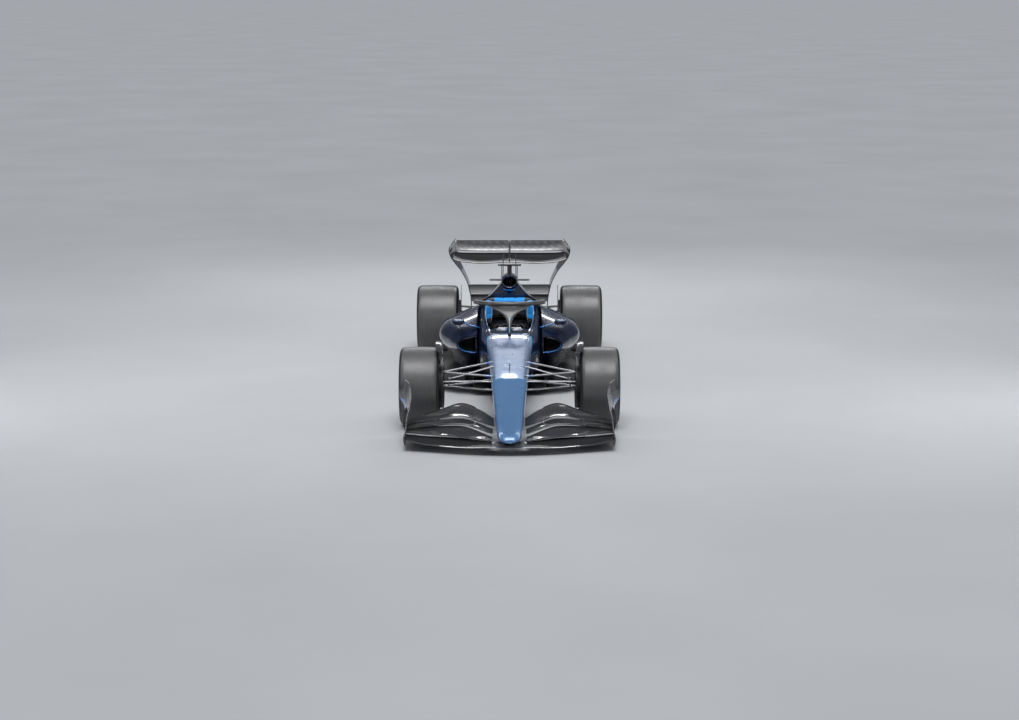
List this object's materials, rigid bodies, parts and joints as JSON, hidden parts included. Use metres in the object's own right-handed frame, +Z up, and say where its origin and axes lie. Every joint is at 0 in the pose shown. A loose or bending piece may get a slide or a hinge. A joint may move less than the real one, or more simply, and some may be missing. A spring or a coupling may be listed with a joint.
{
  "type": "open wheel racing car",
  "caption": "Single-seat open wheel racing car with front and rear wings, halo, steered front wheels, spinning wheels and an opening rear wing flap.",
  "frame": {"origin": "on the floor under the middle of the car's outline", "axes": "+Z up, -Y is the way the car faces, +X is the driver's left"},
  "size_m": [2, 5.57, 1.166],
  "materials": {
    "navy_paint": "dark blue metallic gloss paint",
    "light_blue_paint": "mid blue metallic paint, fading to silver-blue",
    "carbon": "lacquered black carbon fibre",
    "plank": "laminated wood composite",
    "halo_finish": "dark textured coating",
    "blue_padding": "bright blue padded cover",
    "seat_shell": "moulded carbon seat",
    "silver_arms": "satin silver-grey",
    "engine_metal": "cast and machined, dark",
    "exhaust_metal": "heat tinted",
    "light_lens": "red lens",
    "tyre_rubber": "slick tread, satin",
    "wheel_cover": "black carbon cover on a dark rim"
  },
  "bodies": {
    "car_body": {"monocoque": "navy_paint", "nose_cone": "light_blue_paint", "engine_cover": "navy_paint", "left_sidepod": "navy_paint", "right_sidepod": "navy_paint", "car_floor": "carbon", "skid_plank": "plank", "halo": "halo_finish", "cockpit_surround": "blue_padding", "seat": "seat_shell", "mirrors": "navy_paint", "camera_pod": "carbon", "front_wing_mainplane": "carbon", "front_wing_lower_flap": "carbon", "front_wing_middle_flap": "carbon", "front_wing_upper_flap": "carbon", "front_wing_endplates": "carbon", "front_wishbones": "silver_arms", "front_push_rods": "silver_arms", "engine": "engine_metal", "gearbox": "engine_metal", "exhaust": "exhaust_metal", "rain_light": "light_lens", "rear_uprights": "carbon", "rear_wishbones": "carbon", "rear_wing_mainplane": "carbon", "rear_wing_endplates": "carbon", "rear_wing_pylon": "carbon", "beam_wing": "carbon"},
    "left_front_upright_body": {"left_front_knuckle": "carbon", "left_front_winglet": "carbon"},
    "right_front_upright_body": {"right_front_knuckle": "carbon", "right_front_winglet": "carbon"},
    "left_front_wheel_body": {"left_front_tyre": "tyre_rubber", "left_front_wheel": "wheel_cover"},
    "right_front_wheel_body": {"right_front_tyre": "tyre_rubber", "right_front_wheel": "wheel_cover"},
    "left_rear_wheel_body": {"left_rear_tyre": "tyre_rubber", "left_rear_wheel": "wheel_cover"},
    "right_rear_wheel_body": {"right_rear_tyre": "tyre_rubber", "right_rear_wheel": "wheel_cover"},
    "steering_rack_body": {"steering_rack": "silver_arms"},
    "steering_wheel_body": {"steering_wheel": "carbon"},
    "flap_body": {"drs_flap": "carbon"}
  },
  "joints": [
    {"name": "left_steer", "type": "hinge", "parent": "car_body", "child": "left_front_upright_body", "pos_m": [0.62, -1.535, 0.36], "axis": [0, 0, 1], "range_deg": [-18, 18]},
    {"name": "right_steer", "type": "hinge", "parent": "car_body", "child": "right_front_upright_body", "pos_m": [-0.62, -1.535, 0.36], "axis": [0, 0, 1], "range_deg": [-18, 18]},
    {"name": "rack_slide", "type": "slide", "parent": "car_body", "child": "steering_rack_body", "axis": [1, 0, 0], "range_m": [-0.0316, 0.0316]},
    {"name": "steering_wheel_turn", "type": "hinge", "parent": "car_body", "child": "steering_wheel_body", "pos_m": [0, -0.225, 0.64], "axis": [0, 0.9511, 0.309], "range_deg": [-162.2, 162.2]},
    {"name": "left_front_wheel_spin", "type": "hinge", "parent": "left_front_upright_body", "child": "left_front_wheel_body", "pos_m": [0.82, -1.535, 0.36], "axis": [1, 0, 0], "continuous": true},
    {"name": "right_front_wheel_spin", "type": "hinge", "parent": "right_front_upright_body", "child": "right_front_wheel_body", "pos_m": [-0.82, -1.535, 0.36], "axis": [1, 0, 0], "continuous": true},
    {"name": "left_rear_wheel_spin", "type": "hinge", "parent": "car_body", "child": "left_rear_wheel_body", "pos_m": [0.7765, 2.065, 0.36], "axis": [1, 0, 0], "continuous": true},
    {"name": "right_rear_wheel_spin", "type": "hinge", "parent": "car_body", "child": "right_rear_wheel_body", "pos_m": [-0.7765, 2.065, 0.36], "axis": [1, 0, 0], "continuous": true},
    {"name": "flap_tilt", "type": "hinge", "parent": "car_body", "child": "flap_body", "pos_m": [0, 2.68, 1.117], "axis": [-1, 0, 0], "range_deg": [0, 18]}
  ],
  "couplings": [
    {"joint": "right_steer", "follows": "left_steer", "ratio": 1},
    {"joint": "rack_slide", "follows": "left_steer", "m_per_rad": 0.1},
    {"joint": "steering_wheel_turn", "follows": "left_steer", "ratio": 9}
  ]
}
